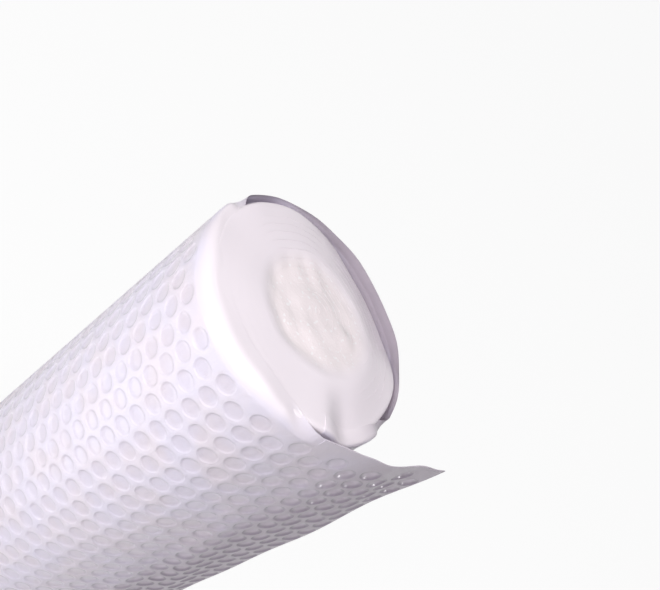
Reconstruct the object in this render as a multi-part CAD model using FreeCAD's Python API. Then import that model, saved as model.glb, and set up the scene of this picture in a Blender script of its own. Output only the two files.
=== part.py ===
"""A small roll of bubble wrap, standing on its end, with the free end of the sheet hanging off it.

The sheet is a smooth film on the outside with air bubbles sealed to its inner side. It is wound nearly
to its middle, with no core, and its last stretch has come away from the roll as a tail. The turns and
the tail are one sheet, so they are one solid: a band that follows a spiral, with its outer film drawn
in a little over each bubble of the outermost turn and, inside the tail, the bubbles themselves.

Frame: millimetres, +Z up along the roll's axis, origin on that axis in the plane of the end that the
roll stands on. The tail leaves the roll at its front right and runs towards +X.

A place on the sheet is (s, depth, z). s is the length along the outer film from the tail's root:
positive along the tail, negative back into the winding. depth is measured from the outer film towards
the bubbles, and z is the height. A station is the cross-section of the sheet at one s, and the skin of
the solid is woven from one station to the next.
"""

import FreeCAD, Part

import math
import os

# The sheet
sheet_width = 300.0  # the roll stands this high
film_thickness = 0.9  # the bare film, between the bubbles and at the edges
bubbled_thickness = 3.9  # film and bubbles together
edge_taper = 9.0  # over this height the sheet thins to bare film at its upper edge

# The winding
outer_radius = 67.7  # of the outer film at the tail's root
hole_radius = 3.0  # the sheet is wound nearly to its middle
turn_gap = 0.5  # between one turn and the next
stations_per_turn = 22
edge_slip = 10.0  # the outermost turn has slipped down this far
slip_middle = 0.85  # where that slip is deepest, in turns back from the tail's root
slip_spread = 0.33  # and how far it reaches to either side, in turns
sunk_side = math.radians(72.0)  # the turns inside it have sunk towards this side of the roll, from +X
sunk_depth = 18.0  # and this far at its edge

# The tail
tail_angle = math.radians(-47.3)  # where its root lies round the roll, from +X
tail_straight = 18.0  # it leaves straight,
tail_bend_length = 38.0  # then bends back round the roll
tail_bend_radius = 155.0
tail_end_length = 23.2  # and ends straight at the cut edge

# The bubbles, in rows that run along the axis, every other row half a pitch higher
bubble_pitch = 12.5  # along a row
row_spacing = 11.0
row_place = 7.75  # one row lies this far along the tail
dish_depth = 1.1  # how far the outer film is drawn in over a bubble
bubble_top = 0.55  # the flat top of a bubble, as a share of its six-sided cell
edge_margin = 13.1  # from the sheet's upper or lower edge to the nearest bubbles' centres
cut_margin = 1.0  # bare film that is left along the cut edge

turn_pitch = bubbled_thickness + turn_gap
turns = (outer_radius - bubbled_thickness - hole_radius) / turn_pitch
tail_length = tail_straight + tail_bend_length + tail_end_length


def length_back(angle):
    """Length of outer film wound in the angle before the tail's root."""
    return outer_radius * angle - turn_pitch * angle**2 / (4 * math.pi)


def angle_back(length):
    """The inverse of length_back."""
    return 2 * math.pi / turn_pitch * (outer_radius - math.sqrt(outer_radius**2 - turn_pitch * length / math.pi))


def wound_place(angle, depth):
    """A point of the section, at an angle before the tail's root."""
    reach = outer_radius - turn_pitch * angle / (2 * math.pi) - depth
    return reach * math.cos(tail_angle - angle), reach * math.sin(tail_angle - angle)


def tail_place(s, depth):
    """A point of the section on the tail: a straight, an arc and a straight."""
    heading = tail_angle + math.pi / 2
    x, y = wound_place(0, 0)
    first = min(s, tail_straight)
    x, y = x + first * math.cos(heading), y + first * math.sin(heading)
    turned = min(max(s - tail_straight, 0), tail_bend_length) / tail_bend_radius
    x += tail_bend_radius * (math.sin(heading + turned) - math.sin(heading))
    y += tail_bend_radius * (math.cos(heading) - math.cos(heading + turned))
    heading += turned
    last = max(s - tail_straight - tail_bend_length, 0)
    x, y = x + last * math.cos(heading), y + last * math.sin(heading)
    return x - depth * math.sin(heading), y + depth * math.cos(heading)


def place(s, depth, z):
    """A point of the sheet in space."""
    x, y = tail_place(s, depth) if s > 0 else wound_place(angle_back(-s), depth)
    return FreeCAD.Vector(x, y, z)


def upper_edge(s):
    """Height of the sheet's upper edge.

    Part of the outermost turn has slipped down, and the turns inside it have sunk on one side.
    """
    if s > 0:
        return sheet_width
    angle = angle_back(-s)
    slipped = edge_slip * math.exp(-(((angle / (2 * math.pi) - slip_middle) / slip_spread) ** 2))
    x, y = wound_place(angle, 0)
    towards = (x * math.cos(sunk_side) + y * math.sin(sunk_side)) / outer_radius
    sunk = sunk_depth * max(towards, 0) ** 2 if angle > 2 * math.pi else 0
    return sheet_width - slipped - sunk


def on_sheet(s, height):
    """Height at s of what lies at that height on a sheet that has not slipped."""
    return height * upper_edge(s) / sheet_width


def bubble_heights(row):
    """Heights of the centres of a row's bubbles."""
    count = int((sheet_width - 2 * edge_margin - bubble_pitch / 2) / bubble_pitch) + 1
    highest = sheet_width - edge_margin - (0 if row % 2 else bubble_pitch / 2)
    return [highest - bubble_pitch * k for k in reversed(range(count))]


def cell_line(row, thirds):
    """Length along the sheet of a line of a row's cells, in thirds of the row spacing from its middle.

    The middle is at 0, the upper and lower corners of a cell at 1 and -1, its side corners at 2 and -2.
    """
    return row_place + (3 * row + thirds) * row_spacing / 3


def rows_between(start, end):
    """The rows of bubbles whose cells lie between two lengths along the sheet."""
    rows = range(int((start - end) / row_spacing) * 2, int(end / row_spacing) + 1)
    return [r for r in rows if cell_line(r, -2) >= start and cell_line(r, 1) + cut_margin < end]


class Skin:
    """The triangles of the solid's skin, which share their corners."""

    def __init__(self):
        self.points, self.numbers, self.triangles = [], {}, []

    def number(self, point):
        key = (round(point.x, 5), round(point.y, 5), round(point.z, 5))
        if key not in self.numbers:
            self.numbers[key] = len(self.points)
            self.points.append(point)
        return self.numbers[key]

    def add(self, corners, inwards=False):
        """A polygon as a fan of triangles. It faces the side from which its corners run anticlockwise."""
        numbers = [self.number(place(*corner)) for corner in corners]
        if inwards:
            numbers.reverse()
        for left, right in zip(numbers[1:], numbers[2:]):
            self.triangles.append((numbers[0], left, right))

    def weave(self, left, right, inwards=False, cells=()):
        """The strip between two columns of places. Sides of the cells of bubbles carry no triangle."""
        i = j = 0
        while i + 1 < len(left) or j + 1 < len(right):
            up_left = j + 1 == len(right) or (i + 1 < len(left) and left[i + 1][2] <= right[j + 1][2])
            side = (left[i], left[i + 1]) if up_left else (right[j], right[j + 1])
            if side not in cells:
                self.add((left[i], right[j], side[1]), inwards)
            i, j = (i + 1, j) if up_left else (i, j + 1)

    def solid(self):
        """The skin as a solid. The base, which the triangles leave open, is one flat face on their edges."""
        open_skin = Part.Shape()
        open_skin.makeShapeFromMesh((self.points, self.triangles), 1e-4)
        rim = [e for e in open_skin.Edges if e.BoundBox.ZMax < film_thickness / 10]
        base = Part.Face(Part.Wire(Part.__sortEdges__(rim)))
        if base.normalAt(0, 0).z > 0:
            base.reverse()
        return Part.Solid(Part.Shell(open_skin.Faces + [base]))


class Bubbles:
    """A run of rows of bubbles on one side of the sheet, with the columns of corners between them."""

    def __init__(self, rows, end, depth):
        self.rows, self.depth = rows, depth
        self.start = cell_line(rows[0], -2)
        self.end = min(cell_line(rows[-1], 2), end - cut_margin)
        self.columns = {self.start: bubble_heights(rows[0]), self.end: bubble_heights(rows[-1])}
        self.cells = set()
        for row in rows:
            heights = bubble_heights(row)
            corners = [heights[0] - bubble_pitch / 2] + [z + bubble_pitch / 2 for z in heights]
            for s in (cell_line(row, -1), cell_line(row, 1)):
                self.columns[s] = corners
                column = [self.corner(s, z) for z in corners]
                self.cells.update(zip(column, column[1:]))

    def corner(self, s, height):
        return s, self.depth, on_sheet(s, height)

    def column(self, s):
        return [self.corner(s, z) for z in self.columns[s]]

    def outlines(self):
        """The centre of each bubble and the six corners of its cell, anticlockwise from outside."""
        for row in self.rows:
            before, near, middle, far, after = (cell_line(row, k) for k in (-2, -1, 0, 1, 2))
            after = min(after, self.end)
            for z in bubble_heights(row):
                low, high = z - bubble_pitch / 2, z + bubble_pitch / 2
                places = ((near, low), (far, low), (after, z), (far, high), (near, high), (before, z))
                yield (middle, on_sheet(middle, z)), [self.corner(*p) for p in places]


def add_dishes(skin, bubbles):
    """The outer film over each bubble, as six triangles that dip to its middle."""
    for (s, z), corners in bubbles.outlines():
        for left, right in zip(corners, corners[1:] + corners[:1]):
            skin.add(((s, dish_depth, z), left, right))


def add_bubbles(skin, bubbles):
    """The bubbles on the inner side, each a six-sided frustum."""
    for (s, z), corners in bubbles.outlines():
        top = [(s + bubble_top * (c[0] - s), bubbled_thickness, z + bubble_top * (c[2] - z)) for c in corners]
        for k in range(6):
            skin.add((top[k - 1], corners[k - 1], corners[k], top[k]), inwards=True)
        skin.add(top, inwards=True)


def make_sheet():
    """The whole sheet, wound turns and tail, as one solid."""
    dishes = Bubbles(rows_between(-length_back(2 * math.pi), tail_length), tail_length, 0.0)
    bubbles = Bubbles(rows_between(0.0, tail_length), tail_length, film_thickness)

    step = 2 * math.pi / stations_per_turn
    whole_turns = int(turns * stations_per_turn)
    stations = {-length_back(2 * math.pi * turns), tail_length} | set(dishes.columns) | set(bubbles.columns)
    stations |= {s for s in (-length_back(k * step) for k in range(1, whole_turns)) if s < dishes.start - step}

    def outer_column(s):
        between = dishes.column(s) if s in dishes.columns else []
        return [(s, 0.0, 0.0)] + between + [(s, 0.0, upper_edge(s))]

    def inner_column(s):
        top = upper_edge(s)
        if s < bubbles.start:
            return [
                (s, bubbled_thickness, 0.0),
                (s, bubbled_thickness, top - edge_taper),
                (s, film_thickness, top),
            ]
        between = bubbles.column(s) if s in bubbles.columns else []
        return [(s, film_thickness, 0.0)] + between + [(s, film_thickness, top)]

    skin = Skin()
    order = sorted(stations)
    for s, after in zip(order, order[1:]):
        outer, next_outer = outer_column(s), outer_column(after)
        inner, next_inner = inner_column(s), inner_column(after)
        skin.weave(outer, next_outer, cells=dishes.cells)
        skin.weave(inner, next_inner, inwards=True, cells=bubbles.cells)
        skin.add((outer[-1], next_outer[-1], next_inner[-1], inner[-1]))
    skin.weave(inner_column(order[0]), outer_column(order[0]))
    skin.weave(outer_column(order[-1]), inner_column(order[-1]))
    add_dishes(skin, dishes)
    add_bubbles(skin, bubbles)
    return skin.solid(), len(skin.triangles)


roll, triangles = make_sheet()
os.makedirs("parts", exist_ok=True)
roll.exportStep("parts/bubble_wrap_roll.step")
print("turns", round(turns, 2), "triangles", triangles, "faces", len(roll.Faces))
print("litres", round(roll.Volume / 1e6, 3), "box", roll.BoundBox)
print("length of sheet", round(length_back(2 * math.pi * turns) + tail_length), "mm")
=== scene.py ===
"""The looks of the roll of bubble wrap: its film, bubbles, loose end and crumpled middle, in metres.

A place on the sheet is (s, depth, z). s is the length along the outer film from the tail's root: positive
along the tail, negative back into the winding. depth is measured from the outer film towards the bubbles,
and z is the height. The rolled sheet is drawn as closed bands, each a grid of places whose rows run up the
outer film, over the upper edge and down the inner side.
"""

import math

import bpy
import numpy as np
from mathutils import Matrix


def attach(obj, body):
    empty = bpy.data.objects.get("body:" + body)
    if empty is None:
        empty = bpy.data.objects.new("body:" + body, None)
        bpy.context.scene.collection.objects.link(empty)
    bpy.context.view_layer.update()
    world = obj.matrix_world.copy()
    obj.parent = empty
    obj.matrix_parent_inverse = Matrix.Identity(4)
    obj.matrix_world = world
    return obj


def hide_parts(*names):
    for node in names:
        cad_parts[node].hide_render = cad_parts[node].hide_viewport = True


NODE = "bubble_wrap_roll"
MM = 0.001

# The sheet and its winding
sheet_width = 300 * MM
film_thickness = 0.5 * MM
bubbled_thickness = 3.9 * MM
taper = 9 * MM  # over this height the wound sheet thins to bare film
outer_radius = 67.7 * MM
hole_radius = 3 * MM
turn_pitch = 4.4 * MM
edge_slip = 10 * MM  # the outermost turn has slipped down this far
slip_middle = 0.85  # most of all this many turns back
slip_spread = 0.33
sunk_side = math.radians(72)  # the turns inside have sunk towards this direction
sunk_depth = 18 * MM
middle_radius = 33 * MM  # the crumpled turns in the middle reach this far
middle_drop = 2.5 * MM  # and lie this much lower
swell = 0.4 * MM  # the end face has settled unevenly, by about this much up and down

# The tail
tail_angle = math.radians(-47.3)
tail_straight = 18 * MM
tail_bend_length = 38 * MM
tail_bend_radius = 155 * MM
tail_end_length = 23.2 * MM
tail_length = tail_straight + tail_bend_length + tail_end_length

# The bubbles
bubble_pitch = 12.5 * MM
row_spacing = 11 * MM
row_place = 7.75 * MM  # from the tail's root to the first row
bubble_radius = 5.2 * MM
edge_margin = 13.1 * MM
bubbles_in_row = 22
dish_depth = 0.9 * MM
shade_start = -45 * MM  # the sheet is painted greyer, as painted shade, from this far before the tail's root
tail_dish = 2 * MM  # the outer film is drawn in further over the tail's bubbles, which nothing presses
tail_loose = 30 * MM  # the sheet has come fully loose this far along the tail
dip_depth = 1.5 * MM  # the tail's upper edge dips this far
dip_place = 47 * MM
dip_spread = 12 * MM

# The upper edge, which leans in over the turn inside it
near_fold = 8 * MM  # the radius of the fold, on the near side of the outermost turn
root_fold = 2.5 * MM  # and beside the tail's root
outer_flap = 6 * MM  # the straight part beyond the fold
inner_fold = 2.5 * MM
inner_flap = 6.5 * MM
edge_thickness = 0.08 * MM  # the film thins to this at its free edge
seat = 0.15 * MM  # the turns inside lie this much lower than the outermost one
rim_droop = 10 * MM  # the turns inside bend down this far where the outermost one has slipped
droop_reach = (34 * MM, 61 * MM)  # none within the first distance from the axis, whole beyond the second
slip_full = 0.94  # the slip is whole up to this many turns back, and ends a full turn back
droop_fading = math.radians(-15)  # the droop starts at the tail's root and fades from here
droop_last = math.radians(40)
near_side = math.radians(-88)
leaning_side = (0.42, 0.56)  # the nearness from which the outermost film starts to lean, and leans fully
upright = 0.08  # the angle by which the standing film leans in, in radians
full_lean = 1.48  # and what the leaning film adds to it
loose_side = math.radians(6)  # the outermost film lies loose here, outside the turns that have sunk
loose_spread = math.radians(14)
lying = 1.54  # the angle by which the turns inside lean in, in radians
arcs_rise = 0.045  # they lean in this much less on one side, where their edges show as arcs
arcs_side = math.radians(-42)
arcs_spread = math.radians(60)

turns = (outer_radius - bubbled_thickness - hole_radius) / turn_pitch
innermost = hole_radius + bubbled_thickness + turn_pitch  # the innermost turn lies within this radius
turn = 2 * math.pi


def smooth(low, high, x):
    """0 below low, 1 above high, and 3t^2 - 2t^3 of the share of the way between."""
    t = np.clip((x - low) / (high - low), 0, 1)
    return t * t * (3 - 2 * t)


def bell(x):
    """A bell curve: e to the power of minus x squared, which is 1 at 0."""
    return np.exp(-(x**2))


def waves(x, lengths, seed):
    """A sum of sines of the given wavelengths at seeded phases, scaled to about -1 to 1."""
    phases = np.random.default_rng(seed).uniform(0, turn, len(lengths))
    return sum(np.sin(turn * x / w + p) for w, p in zip(lengths, phases)) / math.sqrt(len(lengths))


def length_back(angle):
    """Length of outer film wound in the angle before the tail's root: the mean radius times the angle."""
    return outer_radius * angle - turn_pitch * angle**2 / (4 * math.pi)


def angle_back(length):
    """The inverse of length_back, a root of that quadratic."""
    return turn / turn_pitch * (outer_radius - np.sqrt(outer_radius**2 - turn_pitch * length / math.pi))


def wound_place(angle, depth):
    """The spiral: its radius falls by a pitch in each turn."""
    reach = outer_radius - turn_pitch * angle / turn - depth
    return reach * np.cos(tail_angle - angle), reach * np.sin(tail_angle - angle)


def tail_place(s, depth):
    """The tail's section: a straight, an arc and a straight, moved by depth along its normal."""
    heading = tail_angle + math.pi / 2
    x, y = wound_place(0.0, 0.0)
    first = np.minimum(s, tail_straight)
    x, y = x + first * math.cos(heading), y + first * math.sin(heading)
    turned = heading + np.clip(s - tail_straight, 0, tail_bend_length) / tail_bend_radius
    x = x + tail_bend_radius * (np.sin(turned) - math.sin(heading))
    y = y + tail_bend_radius * (math.cos(heading) - np.cos(turned))
    last = np.maximum(s - tail_straight - tail_bend_length, 0)
    x, y = x + last * np.cos(turned), y + last * np.sin(turned)
    return x - depth * np.sin(turned), y + depth * np.cos(turned)


def near_edge(z, start, whole):
    """A change that comes in towards the upper edge: 0 at start below the top, 1 at whole below it."""
    return smooth(sheet_width - start, sheet_width - whole, z)


def lumps(x, y, z, length, seed):
    """A smooth random height in space: a sum of eight plane waves of about that length, of about -1 to 1."""
    random = np.random.default_rng(seed)
    total = 0.0
    for _ in range(8):
        heading, tilt, phase = random.uniform(0, turn, 3)
        path = x * math.cos(heading) + y * math.sin(heading) + 0.5 * z * math.cos(tilt)
        total = total + np.sin(turn * path / (length * random.uniform(0.7, 1.5)) + phase)
    return total / math.sqrt(8)


def place(s, depth, z):
    """Points in space, as an array of three columns, of places given as arrays of one shape."""
    wound = wound_place(angle_back(np.maximum(-s, 0)), depth)
    tail = tail_place(np.maximum(s, 0), depth)
    x, y = (np.where(s > 0, t, w) for t, w in zip(tail, wound))
    return np.stack([x, y, z + 0 * s], axis=-1)


def upper_edge(s):
    """Height of the upper edge before the end face sinks: the width less the slip, a bell of the angle."""
    angle = angle_back(np.maximum(-s, 0))
    slipped = edge_slip * bell((angle / turn - slip_middle) / slip_spread)
    slipped = slipped * smooth(turn, slip_full * turn, angle)
    seated = seat * smooth(0.9 * turn, 1.1 * turn, angle)
    return np.where(s > 0, sheet_width, sheet_width - slipped - seated)


def sunk(x, y):
    """Fall of the end face inside the outermost turn: the square of the way towards the sunk side."""
    towards = np.maximum(x * math.cos(sunk_side) + y * math.sin(sunk_side), 0) / outer_radius
    return sunk_depth * towards**2


def middle_share(x, y):
    """1 over the crumpled middle, 0 outside it."""
    return 1 - smooth(0.75 * middle_radius, 1.1 * middle_radius, np.hypot(x, y))


def settled(x, y):
    """Rise of the unevenly settled end face, the same for all films: lumps, less the drop of the middle."""
    middle = middle_share(x, y)
    broad = swell * (lumps(x, y, 0, 34 * MM, 29) - 1)
    fine = swell * middle * lumps(x, y, 0, 15 * MM, 31)
    return broad + fine - middle_drop * middle


def droop(x, y):
    """Fall of the rim of the turns inside, beside the stretch of the outermost turn that has slipped."""
    direction = np.arctan2(y, x)
    full = tail_angle + turn * (1 - slip_full)
    share = smooth(tail_angle, full, direction) * smooth(droop_last, droop_fading, direction)
    return rim_droop * share * smooth(*droop_reach, np.hypot(x, y))


def to_bubble(s, height):
    """Distance on the flat sheet to the nearest bubble's centre: the nearer of two rectangular lattices."""
    along = (s - row_place) / (2 * row_spacing)
    up = (height - sheet_width + edge_margin) / bubble_pitch
    distances = []
    for shift in (0.0, 0.5):
        across = (along + 0.5 + shift - np.round(along + 0.5 + shift)) * 2 * row_spacing
        over = (up + shift - np.clip(np.round(up + shift), 1 - bubbles_in_row, 0)) * bubble_pitch
        distances.append(np.hypot(across, over))
    return np.minimum(*distances)


def dish(s, height):
    """How far the outer film is drawn in over a bubble: a flat bottom with a rounded rim."""
    return dish_depth * (1 - smooth(0.65 * bubble_radius, 1.15 * bubble_radius, to_bubble(s, height)))


def lean(s, fold, angle, flap, rows, edge_rows):
    """The film from its foot to its free upper edge: straight up, an arc of radius fold, a straight flap.

    The arc turns inwards through angle. Returns the film's depth and height, the height on the flat sheet,
    the angle reached and the distance to the free edge, one column for each s.
    """
    top = upper_edge(s)
    length = fold * angle + flap
    along = length * np.linspace(0, 1, edge_rows + 1)[1:, None]
    reached = np.minimum(along / fold, angle)
    beyond = np.maximum(along - fold * angle, 0)
    rise = fold * np.sin(reached) + beyond * np.cos(reached)
    shoulder = top - rise[-1:]
    straight = shoulder * np.linspace(0, 1, rows)[:, None]
    zeros = np.zeros_like(straight)
    depth = np.concatenate([zeros, fold * (1 - np.cos(reached)) + beyond * np.sin(reached)])
    z = np.concatenate([straight, shoulder + rise])
    height = np.concatenate([straight, shoulder + along]) * sheet_width / top
    to_edge = np.concatenate([length + shoulder - straight, length - along])
    return depth, z, height, np.concatenate([zeros, reached]), to_edge


def thickness(s, z, to_edge):
    """Film and bubbles low down, bare film above the taper, and next to nothing at the free edge."""
    below = smooth(0, taper, upper_edge(s) - taper - z)
    thick = film_thickness + (bubbled_thickness - film_thickness) * below
    return edge_thickness + (thick - edge_thickness) * smooth(0, 4 * MM, to_edge)


def band(s, outer, inner):
    """A closed band as a grid: outer rows from foot to edge, then inner rows from edge to foot."""
    rows = [np.concatenate([a, b[::-1]]) for a, b in zip(outer, inner)]
    return place(s + 0 * rows[0], rows[0], rows[1]), rows[2]


def add_object(name, data):
    """A new object in the scene, of the given mesh, light or camera."""
    made = bpy.data.objects.new(name, data)
    bpy.context.scene.collection.objects.link(made)
    return made


def add_band(name, s, points, height, edge_row, fields, material):
    """A mesh of the band, with its two ends closed and its free edge, after edge_row, left sharp.

    The UV map is the flat sheet in lattice units, and each field is a number at every corner of the grid.
    """
    rows, columns = points.shape[:2]
    index = np.arange(rows * columns).reshape(rows, columns)
    low, high = index, np.roll(index, -1, axis=0)
    quads = np.stack([low[:, :-1], low[:, 1:], high[:, 1:], high[:, :-1]], axis=-1).reshape(-1, 4)
    faces = quads.tolist() + [index[:, 0].tolist(), index[::-1, -1].tolist()]
    mesh = bpy.data.meshes.new(name)
    mesh.from_pydata(points.reshape(-1, 3).tolist(), [], faces)
    mesh.polygons.foreach_set("use_smooth", np.ones(len(faces), bool))
    pairs = np.zeros(2 * len(mesh.edges), np.int32)
    mesh.edges.foreach_get("vertices", pairs)
    row, column = np.divmod(pairs.reshape(-1, 2), columns)
    lines = [column == 0, column == columns - 1, row == edge_row, row == edge_row + 1]
    sharp = np.any([line.all(axis=1) for line in lines], axis=0)
    mesh.attributes.new("sharp_edge", "BOOLEAN", "EDGE").data.foreach_set("value", sharp)
    corners = np.zeros(len(mesh.loops), np.int32)
    mesh.loops.foreach_get("vertex_index", corners)
    along = (s - row_place) / (2 * row_spacing) + 0 * height
    up = (height - sheet_width + edge_margin) / bubble_pitch
    flat = np.stack([along.ravel(), up.ravel()], axis=-1)[corners]
    mesh.uv_layers.new(name="flat").data.foreach_set("uv", flat.astype(np.float32).ravel())
    for field, values in fields.items():
        attribute = mesh.attributes.new(field, "FLOAT", "POINT")
        attribute.data.foreach_set("value", (values + 0 * height).astype(np.float32).ravel())
    mesh.materials.append(material)
    piece = add_object(name, mesh)
    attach(piece, "root")
    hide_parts(NODE)


class Value:
    """One output of a shader node. Arithmetic on it adds Math nodes."""

    def __init__(self, graph, socket):
        self.graph, self.socket = graph, socket

    def math(self, operation, *others):
        return self.graph.math(operation, self, *others)

    def __add__(self, other):
        return self.math("ADD", other)

    def __sub__(self, other):
        return self.math("SUBTRACT", other)

    def __mul__(self, other):
        return self.math("MULTIPLY", other)

    def __rsub__(self, other):
        return self.graph.math("SUBTRACT", other, self)

    __radd__ = __add__
    __rmul__ = __mul__


class Graph:
    """The node tree of a material or of the world."""

    def __init__(self, owner):
        owner.use_nodes = True
        self.tree = owner.node_tree
        self.tree.nodes.clear()

    def node(self, kind, settings, inputs, output=0):
        made = self.tree.nodes.new(kind)
        for name, value in settings.items():
            setattr(made, name, value)
        for key, value in inputs.items():
            if isinstance(value, Value):
                self.tree.links.new(value.socket, made.inputs[key])
            else:
                made.inputs[key].default_value = value
        return Value(self, made.outputs[output]) if made.outputs else None

    def math(self, operation, *values):
        return self.node("ShaderNodeMath", {"operation": operation}, dict(enumerate(values)))

    def ramp(self, value, low, high):
        """0 below low and 1 above high, with a smooth step between."""
        settings = {"interpolation_type": "SMOOTHSTEP"}
        return self.node("ShaderNodeMapRange", settings, {0: value, 1: low, 2: high, 3: 0.0, 4: 1.0})

    def mix(self, share, first, second):
        """A colour between two, by share."""
        return self.node("ShaderNodeMix", {"data_type": "RGBA"}, {0: share, 6: first, 7: second}, 2)

    def noise(self, place, scale, detail, roughness=0.5):
        inputs = {"Vector": place, "Scale": scale, "Detail": detail, "Roughness": roughness}
        return self.node("ShaderNodeTexNoise", {}, inputs)

    def field(self, name):
        return self.node("ShaderNodeAttribute", {"attribute_name": name}, {}, "Fac")


def colour(red, green, blue):
    """A colour as it is seen, in steps of 255, as the linear colour that the shader takes."""
    share = np.array([red, green, blue]) / 255
    return (*np.where(share <= 0.04045, share / 12.92, ((share + 0.055) / 1.055) ** 2.4).tolist(), 1.0)


def bubble_distance(graph, flat):
    """Distance in millimetres to the nearest bubble's centre, from the flat sheet's UV map."""
    along = graph.node("ShaderNodeSeparateXYZ", {}, {0: flat}, 0)
    up = graph.node("ShaderNodeSeparateXYZ", {}, {0: flat}, 1)
    squares = []
    for shift in (0.0, 0.5):
        across = (graph.math("FRACT", along + 1.0 + shift) - 0.5) * (2 * row_spacing / MM)
        lowest = 1.0 - bubbles_in_row
        row = graph.math("MINIMUM", graph.math("MAXIMUM", graph.math("ROUND", up + shift), lowest), 0.0)
        over = (up + shift - row) * (bubble_pitch / MM)
        squares.append(across * across + over * over)
    return graph.math("SQRT", graph.math("MINIMUM", *squares))


def film_material():
    """Milky film: darker bubbles between paler webs; grey where it is a single layer, partly its own thinner
    film and partly painted shade, which also greys the sheet before the tail's root; painted glints in the
    middle.
    """
    material = bpy.data.materials.new("milky_film")
    graph = Graph(material)
    spot = graph.node("ShaderNodeTexCoord", {}, {}, "Object")
    flat = graph.node("ShaderNodeUVMap", {"uv_map": "flat"}, {})
    distance = bubble_distance(graph, flat)
    bubbled, bare_layer_and_shade, face, middle = (graph.field(name) for name in ("bubbled", "bare_layer_and_shade", "face", "middle"))

    disc = (1.0 - graph.ramp(distance, 4.2, 5.4)) * bubbled
    cloudy = graph.noise(spot, 45.0, 3.0)
    cool = graph.mix(disc, colour(231, 225, 240), colour(224, 217, 233))
    warm = graph.mix(disc, colour(233, 224, 233), colour(223, 213, 223))
    wound = graph.mix(graph.ramp(cloudy, 0.35, 0.7), cool, warm)
    # Painted shade: a dark ring at each bubble's steep wall, partly the thicker film there and partly
    # painted shade for the bubble's crescent.
    wall_shade = graph.ramp(distance, 2.8, 4.6) * (1.0 - graph.ramp(distance, 4.9, 5.6)) * bubbled
    # The single layer's grey is partly its thinner film and partly painted shade.
    layer_grey_and_shade = graph.mix(disc, colour(192, 182, 193), colour(202, 191, 203))
    layer_grey_and_shade = graph.mix(wall_shade, layer_grey_and_shade, colour(150, 139, 153))
    # Painted glints: small white spots painted into the middle's colour as highlights.
    painted_glints = graph.ramp(graph.noise(spot, 520.0, 0.0), 0.69, 0.76)
    inmost = graph.mix(painted_glints, colour(250, 239, 241), colour(255, 249, 251))
    end = graph.mix(middle, colour(248, 239, 245), inmost)
    base = graph.mix(bare_layer_and_shade, graph.mix(face, wound, end), layer_grey_and_shade)

    rim = graph.ramp(distance, 4.2, 5.0) * (1.0 - graph.ramp(distance, 5.2, 5.9)) * bubbled
    drawn_up = graph.node("ShaderNodeMapping", {}, {"Vector": flat, "Scale": (7.0, 0.9, 1.0)})
    streaks = graph.noise(drawn_up, 1.0, 3.0, 0.6)
    creases = graph.noise(spot, 90.0, 4.0, 0.65)
    relief = rim * 0.2 - disc * 0.35 + streaks * bubbled * 0.7 + creases * (0.12 + middle * 1.1)
    bump = graph.node("ShaderNodeBump", {}, {"Strength": 0.6, "Distance": 0.8 * MM, "Height": relief})

    inputs = {
        "Base Color": base,
        "Roughness": 0.26 + cloudy * 0.16,
        "IOR": 1.5,
        "Normal": bump,
        "Alpha": 1.0 - bare_layer_and_shade * 0.12,
        "Specular IOR Level": 0.35,
        "Coat Weight": 0.1 + disc * 0.7 + middle * 0.6 - bare_layer_and_shade * (1.0 - bubbled) * 0.1,
        "Coat Roughness": 0.16,
    }
    shader = graph.node("ShaderNodeBsdfPrincipled", {}, inputs)
    graph.node("ShaderNodeOutputMaterial", {}, {0: shader})
    return material


def seen_directly(graph):
    """1 for the rays that show the background: from the camera, or by way of gloss or glass."""
    outputs = ("Is Camera Ray", "Is Glossy Ray", "Is Transmission Ray")
    rays = [graph.node("ShaderNodeLightPath", {}, {}, name) for name in outputs]
    return graph.math("MINIMUM", rays[0] + rays[1] + rays[2], 1.0)


def floor_material():
    """White floor that keeps a soft shadow: part of its white is its own, the rest is the light on it."""
    own_white = 0.94
    material = bpy.data.materials.new("white_floor")
    graph = Graph(material)
    own = graph.node("ShaderNodeEmission", {}, {"Color": (1.0, 1.0, 1.0, 1.0), "Strength": 1.0})
    lit = graph.node("ShaderNodeBsdfDiffuse", {}, {"Color": (0.9, 0.9, 0.9, 1.0)})
    share = seen_directly(graph) * own_white
    shader = graph.node("ShaderNodeMixShader", {}, {0: share, 1: lit, 2: own})
    graph.node("ShaderNodeOutputMaterial", {}, {0: shader})
    return material


def add_floor():
    """A square floor, 60 metres wide, under the roll."""
    half = 30.0
    corners = [(-half, -half, 0), (half, -half, 0), (half, half, 0), (-half, half, 0)]
    mesh = bpy.data.meshes.new("floor")
    mesh.from_pydata(corners, [], [(0, 1, 2, 3)])
    mesh.materials.append(floor_material())
    floor = add_object("floor", mesh)


def add_world(strength):
    """White where it is seen, and as light a little violet, at the given strength."""
    world = bpy.data.worlds.new("studio")
    bpy.context.scene.world = world
    graph = Graph(world)
    seen = seen_directly(graph)
    tint = graph.mix(seen, (0.92, 0.88, 1.0, 1.0), (1.0, 1.0, 1.0, 1.0))
    level = strength + seen * (1.0 - strength)
    shader = graph.node("ShaderNodeBackground", {}, {"Color": tint, "Strength": level})
    graph.node("ShaderNodeOutputWorld", {}, {0: shader})


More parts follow.
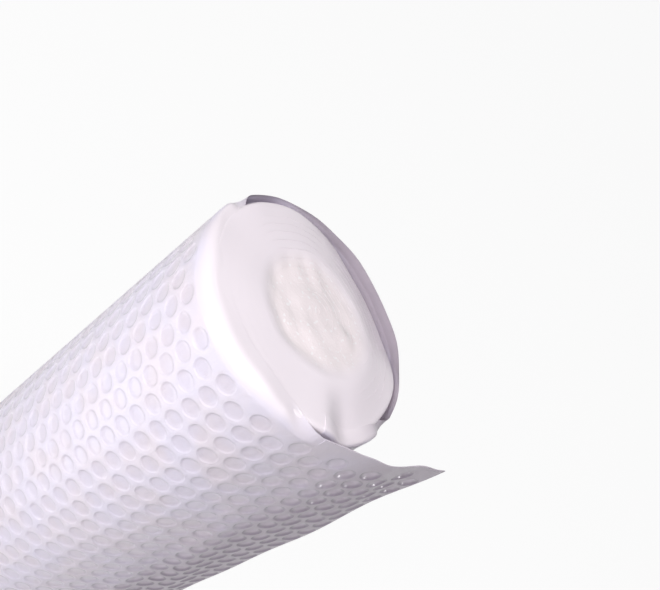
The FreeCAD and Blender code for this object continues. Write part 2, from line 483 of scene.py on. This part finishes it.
def add_lamp(name, azimuth, elevation, distance, size, watts):
    """A square lamp that looks at the roll's upper part. Azimuth is from +X, in degrees."""
    aim = np.array([0, 0, 0.2])
    data = bpy.data.lights.new(name, "AREA")
    data.size, data.energy = size, watts
    lamp = add_object(name, data)
    a, e = math.radians(azimuth), math.radians(elevation)
    away = np.array([math.cos(a) * math.cos(e), math.sin(a) * math.cos(e), math.sin(e)])
    lamp.location = away * distance + aim
    side = np.cross([0, 0, 1], away)
    side /= np.linalg.norm(side)
    axes = np.stack([side, np.cross(away, side), away], axis=1)
    lamp.visible_camera = False
    lamp.matrix_world = Matrix.Translation(lamp.location) @ Matrix(axes.tolist()).to_4x4()


def add_card(name, centre, length, width, watts):
    """A bright card that lies on the floor along X and shows as a gleam on the roll's near side."""
    data = bpy.data.lights.new(name, "AREA")
    data.shape, data.size, data.size_y, data.energy = "RECTANGLE", length, width, watts
    card = add_object(name, data)
    card.location = centre
    card.rotation_euler = (math.pi, 0, 0)
    card.visible_camera = False


def add_camera():
    """The photo's viewpoint: above the front of the roll, looking down along it and tilted."""
    data = bpy.data.cameras.new("camera")
    data.lens, data.sensor_width = 43.93, 36.0
    camera = add_object("camera", data)
    eye = (0.0, -0.30895, 0.5181)
    right = (0.56335, 0.46769, 0.68106)
    up = (-0.82609, 0.30865, 0.47141)
    back = (0.01026, -0.82819, 0.56029)
    axes = np.stack([right, up, back], axis=1)
    camera.matrix_world = Matrix.Translation(eye) @ Matrix(axes.tolist()).to_4x4()
    bpy.context.scene.camera = camera


def direction_of(s):
    """The direction, round the axis, in which a wound place lies."""
    return tail_angle - angle_back(np.maximum(-s, 0))


def make_outer_turn(material):
    """The outermost turn. On its near side the bare margin leans in; on its far side it stands up by itself.

    The nearness is half of 1 plus the cosine of the angle from the near side, and how far the film leans in
    is a smooth step of it. The fold widens from the tail's root, and narrows again behind the near side.
    """
    s = np.linspace(-length_back(turn), 0, 330)[None, :]
    back = angle_back(-s)
    near = 0.5 + 0.5 * np.cos(direction_of(s) - near_side)
    leans = smooth(*leaning_side, near)
    leaning = leans * smooth(0, 24 * MM, -s)
    angle = upright + full_lean * leaning * (1 + 0.01 * waves(s, (0.061, 0.037, 0.023), 3))
    widening = smooth(0.55, 0.85, near) * smooth(0.5 * turn, 0.3 * turn, back) * smooth(0, 50 * MM, -s)
    fold = root_fold + (near_fold - root_fold) * widening
    ripple = 0.5 * MM * (waves(s, (0.11, 0.067, 0.043), 41) - 1) * smooth(0, 20 * MM, -s)

    def film(rows):
        depth, z, height, reached, to_edge = lean(s, fold, angle, outer_flap, rows, 14)
        sag = 0.3 * MM * (1 + waves(s + 0.6 * z, (0.083, 0.047, 0.029), 43)) * smooth(0, 25 * MM, -s)
        lift = ripple * (1 - leaning) + settled(*wound_place(back, depth)) * leaning
        raised = z + lift * near_edge(z, 30 * MM, 5 * MM)
        return depth + sag * (1 - leaning), raised, height, reached, to_edge

    depth, z, height, reached, _ = film(200)
    bubbled = 1 - smooth(0.05, 0.5, reached) * smooth(0, 0.3, leaning)
    outer = (depth + dish(s, height) * bubbled, z, height)
    depth_in, z_in, height_in, reached_in, to_edge = film(26)
    thick = thickness(s, z_in, to_edge)
    inner = (depth_in + thick * np.cos(reached_in), z_in - thick * np.sin(reached_in), height_in)
    points, heights = band(s, outer, inner)
    z = points[..., 2]
    content = upper_edge(s - length_back(turn)) - sunk(*wound_place(back, turn_pitch)) - 3 * MM
    standing = smooth(-1 * MM, 3 * MM, z - content) * (1 - leans)
    slack = bell((direction_of(s) + turn - loose_side) / loose_spread) * near_edge(z, 38 * MM, 15 * MM)
    fields = {
        "bubbled": np.concatenate([bubbled, np.zeros_like(depth_in)]),
        # Grey where the film is a single layer, and painted shade from 45 mm before the tail's root onwards.
        "bare_layer_and_shade": np.maximum(np.maximum(standing, 0.8 * slack), smooth(shade_start, tail_length, s)),
        "face": smooth(0.2, 1.2, np.concatenate([reached, reached_in[::-1]])) * leaning,
        "middle": 0.0,
    }
    add_band("outer_turn", s, points, heights, len(depth) - 1, fields, material)


def bowl(distance):
    """The share of a bubble's depth: a round bowl, 1 at its centre and 0 at its rim."""
    return np.clip(1 - (distance / bubble_radius) ** 2, 0, 1)


def make_tail(material):
    """The loose end: the outer film drawn in over each bubble, and the bubbles on its inner side.

    A bubble rises as the root of its bowl, like part of a ball, up to a flat top.
    """
    s = np.linspace(0, tail_length, 96)[None, :]
    height = np.linspace(0, sheet_width, 361)[:, None] + 0 * s
    loose = smooth(0, tail_loose, s)
    dip = dip_depth * bell((s - dip_place) / dip_spread) + 0.4 * MM * (1 + waves(s, (0.029, 0.017), 8))
    z = height - dip * loose * near_edge(height, 80 * MM, 0)
    wave = 0.7 * MM * waves(s + 0.4 * height, (0.052, 0.033), 5) * loose
    distance = to_bubble(s, height)
    drawn = dish(s, height) * (1 - loose) + tail_dish * bowl(distance) * loose
    outer = (wave + drawn, z, height)
    dome = (bubbled_thickness - film_thickness) * np.sqrt(bowl(distance))
    thick = film_thickness + np.maximum(np.minimum(dome, 0.8 * bubbled_thickness), drawn + 0.2 * dome)
    inner = (wave + thick, z, height)
    points, heights = band(s, outer, inner)
    # Grey as a single layer, with painted shade that starts 45 mm before the tail's root.
    bare_layer_and_shade = np.maximum(smooth(-2 * MM, 45 * MM, s), smooth(shade_start, tail_length, s))
    fields = {"bubbled": 1.0, "bare_layer_and_shade": bare_layer_and_shade, "face": 0.0, "middle": 0.0}
    add_band("tail_sheet", s, points, heights, len(height) - 1, fields, material)


def make_inner_turns(material):
    """The turns inside, whose bare edges lean in over each other and hide the gaps between them."""
    s = np.linspace(-length_back(turn * turns), -length_back(turn), 1100)[None, :]
    x, y = wound_place(angle_back(-s), 0.0)
    aside = np.angle(np.exp(1j * (direction_of(s) - arcs_side))) / arcs_spread
    angle = lying + 0.014 * lumps(x, y, 0, 50 * MM, 11) - arcs_rise * bell(aside)
    radius = np.hypot(x, y)
    room = radius - inner_fold
    flap = np.minimum(inner_flap * (1 + 0.12 * lumps(x, y, 0, 30 * MM, 23)), room)
    flap = flap + (room - flap) * smooth(innermost + 1.5 * MM, innermost, radius)
    depth, z, height, reached, to_edge = lean(s, inner_fold, angle, flap, 12, 10)
    thick = thickness(s, z, to_edge)
    outer = (depth, z, height)
    inner = (depth + thick * np.cos(reached), z - thick * np.sin(reached), height)
    points, heights = band(s, outer, inner)
    x, y, z = np.moveaxis(points, -1, 0)
    fall = sunk(x, y) * near_edge(z, 100 * MM, 30 * MM)
    points[..., 2] += (settled(x, y) - droop(x, y)) * near_edge(z, 40 * MM, 20 * MM) - fall
    fields = {"bubbled": 0.0, "bare_layer_and_shade": 0.0, "face": 1.0, "middle": middle_share(x, y)}
    add_band("inner_turns", s, points, heights, len(depth) - 1, fields, material)


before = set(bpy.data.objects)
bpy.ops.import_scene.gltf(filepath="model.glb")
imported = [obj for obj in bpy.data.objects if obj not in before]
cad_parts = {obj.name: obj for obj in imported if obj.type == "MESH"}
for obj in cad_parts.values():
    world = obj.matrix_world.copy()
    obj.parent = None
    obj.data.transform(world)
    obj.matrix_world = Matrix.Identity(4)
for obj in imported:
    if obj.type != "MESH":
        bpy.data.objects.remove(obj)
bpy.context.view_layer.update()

film = film_material()
make_outer_turn(film)
make_tail(film)
make_inner_turns(film)

add_camera()
add_floor()
add_world(strength=0.13)
add_lamp("key", azimuth=-102, elevation=36, distance=0.9, size=0.4, watts=4.7)
add_lamp("top", azimuth=-90, elevation=82, distance=1.6, size=0.35, watts=9.6)
add_lamp("side", azimuth=-3, elevation=6, distance=0.7, size=0.08, watts=0.35)
add_lamp("strip", azimuth=-120, elevation=12, distance=0.28, size=0.08, watts=0.11)
add_card("card", centre=(-0.12, -0.2, 0.012), length=0.2, width=0.08, watts=0.09)
bpy.context.scene.view_settings.view_transform = "Standard"
